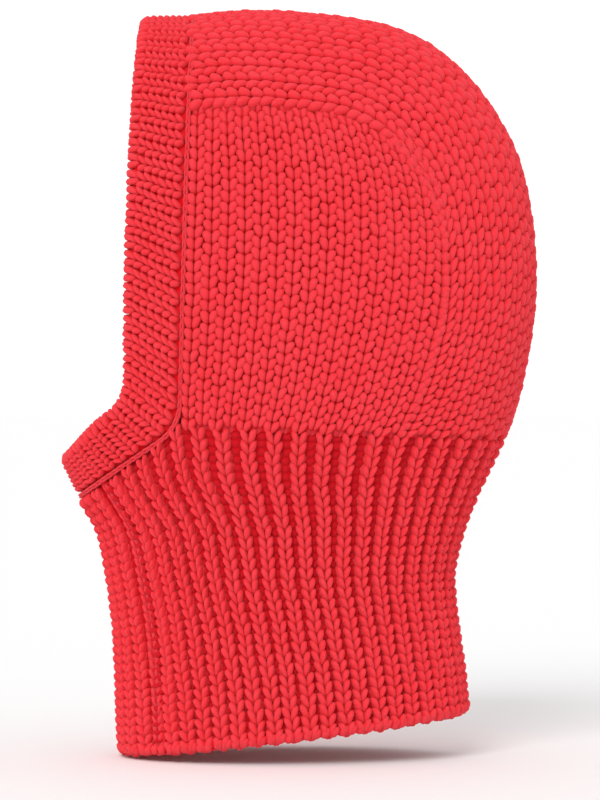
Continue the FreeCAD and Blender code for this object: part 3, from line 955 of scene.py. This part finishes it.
def makeCrownSeam(side):
    # slanted stitches in the groove between the crown strip and the side
    sign = 1 if side == "left" else -1
    low, high = hoodShape["turnAngle"], hoodShape["angles"][1]
    half = crownSeamKnit["halfWidth"]
    rows = []
    for angle in np.linspace(low, high, 40):
        line = archLine(angle, crownSeamKnit["depth"])
        length = lengthAlong(line)
        outer = lengthAlong(archLine(angle, 0))[-1]
        wanted = (hoodShape["stripHalf"] + np.linspace(-half, half, 5)) * length[-1] / outer
        x = sign * np.interp(wanted, length, line[:, 0])
        rows.append(standUp(x, np.interp(wanted, length, line[:, 1]), angle))
    grid = np.array(rows)
    if side == "left":
        grid = grid[:, ::-1]
    bars = knitPiece("crown_seam_stitches_" + side, grid, 0.0, "ladder", seamYarn, "seam_yarn", Seed=41,
                     Stagger=0.0, Columns=1, Courses=crownSeamKnit["stitches"], Unevenness=0.06)
    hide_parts("crown_seam_" + side)
    return bars


hemKnit = {
    "loopRows": 2, "margin": 0.02,
    "rise": 3.6 * mm, "radius": 2.0 * mm,    # of the edge's middle above the hem, and its roundness
    "coreThickness": 1.6 * mm,
}


def makeHem():
    margin, radius = hemKnit["margin"], hemKnit["radius"]

    def around(count, edge):
        u = np.linspace(-edge, 1 + edge, count)
        wrapped = u % 1.0
        half = 1 - np.abs(2 * wrapped - 1)
        rows = []
        for turn in np.radians(np.linspace(-20, 200, 24)):
            drop = neckHem(half) - hemKnit["rise"] + radius * math.sin(turn)
            points = neckPoint(half, drop, hoodShape["wall"] / 2 - radius * math.cos(turn))
            points[..., 0] *= np.where(wrapped < 0.5, 1, -1)
            rows.append(points)
        return np.array(rows)

    loops = knitPiece("hem_cast_on_loops", around(300, margin), margin, "castOn", ribYarn, "neck_rib_knit",
                      Seed=51, Stagger=0.0, Columns=neckKnit["ribs"], Courses=hemKnit["loopRows"],
                      Unevenness=0.08)
    core = fabricShell("hem_cast_on_core", around(161, 0.0)[:, :-1], hemKnit["coreThickness"], closedU=True)
    finish(core, paintedShadeCreaseCloth)
    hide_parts("hem_cast_on_edge")
    return core, loops


frontSeamKnit = {
    "stitches": 34,
    "top": 125 * mm, "foot": 268 * mm,       # how far below the head's centre it starts and stops
    "halfWidth": 2.4 * mm, "depth": 3.0 * mm,
}


def makeFrontSeam():
    half, depth = frontSeamKnit["halfWidth"], frontSeamKnit["depth"]
    line = np.linspace(-half, half, 5) + neckShape["seamX"]
    rows = []
    for drop in np.linspace(frontSeamKnit["top"], frontSeamKnit["foot"], 40):
        front, back, side = [float(v) for v in neckAt(np.array(drop))]
        reach = (back + front) / 2 - depth
        y = (back - front) / 2 - reach * np.sqrt(1 - (line / (side - depth)) ** 2)
        rows.append(np.stack([line, y, np.full(5, -drop)], 1))
    grid = np.array(rows)[:, ::-1]
    bars = knitPiece("neck_front_seam_stitches", grid, 0.0, "ladder", paintedShadeValleyYarn, "seam_yarn", Seed=61,
                     Stagger=0.0, Columns=1, Courses=frontSeamKnit["stitches"], Unevenness=0.06)
    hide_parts("neck_front_seam")
    return bars


print("knitting the hood")
sideLeft, sideLeftKnit = makeSide("left")
sideRight, sideRightKnit = makeSide("right")
strip, stripKnit = makeStrip()
stripKnit += [makeCrownSeam("left"), makeCrownSeam("right")]
print("knitting the neck")
neck, neckPieces = makeNeck()
neckPieces += [*makeHem(), makeFrontSeam()]
print("knitting the face band")
band, bandPieces = makeBand()
bandPieces += makeChain()

for stitch in stitches.values():
    bpy.data.objects.remove(stitch)


# floor, light and camera

studio = {
    "floorDrop": 0.5 * mm, "floorReach": 60.0,
    "cameraAt": (2.0, -22 * mm, -82.4 * mm),
    "lens": 163.8,
    "skyBehind": 1.1,
    "skyOnObject": 0.78,
    "sun": 1.5,
    "sunSpread": 30,
    "sunFrom": (0.75, -0.25, 0.55),
}


def makeFloor():
    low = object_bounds()[0][2] - studio["floorDrop"]
    reach = studio["floorReach"]
    corners = [(-reach, -reach, low), (reach, -reach, low), (reach, reach, low), (-reach, reach, low)]
    floor = newObject("floor", corners, [(0, 1, 2, 3)])
    material = bpy.data.materials.new("PaleFloor")
    material.use_nodes = True
    shader = material.node_tree.nodes["Principled BSDF"]
    shader.inputs["Base Color"].default_value = (0.96, 0.96, 0.96, 1)
    shader.inputs["Roughness"].default_value = 0.9
    floor.data.materials.append(material)


def makeCamera():
    camera = bpy.data.cameras.new("camera")
    camera.lens = studio["lens"]
    camera.clip_start, camera.clip_end = 0.05, 50
    view = bpy.data.objects.new("camera", camera)
    view.location = studio["cameraAt"]
    target = Vector((0, studio["cameraAt"][1], studio["cameraAt"][2]))
    view.rotation_euler = (target - view.location).to_track_quat("-Z", "Y").to_euler()
    bpy.context.scene.collection.objects.link(view)
    bpy.context.scene.camera = view


def makeSky():
    # even white behind the object, softer on it
    world = bpy.data.worlds.new("studio")
    world.use_nodes = True
    nodes, links = world.node_tree.nodes, world.node_tree.links
    ray = nodes.new("ShaderNodeLightPath").outputs["Is Camera Ray"]
    level = shaderNode(nodes, links, "ShaderNodeMapRange", {"Value": ray, "To Min": studio["skyOnObject"],
                                                            "To Max": studio["skyBehind"]}).outputs[0]
    links.new(level, nodes["Background"].inputs["Strength"])
    nodes["Background"].inputs["Color"].default_value = (1, 1, 1, 1)
    bpy.context.scene.world = world


def makeSun():
    light = bpy.data.lights.new("sun", "SUN")
    light.energy = studio["sun"]
    light.angle = math.radians(studio["sunSpread"])
    lamp = bpy.data.objects.new("sun", light)
    lamp.rotation_euler = Vector(studio["sunFrom"]).to_track_quat("Z", "Y").to_euler()
    bpy.context.scene.collection.objects.link(lamp)


makeFloor()
makeSun()
makeSky()
makeCamera()
bpy.context.scene.view_settings.view_transform = "Standard"
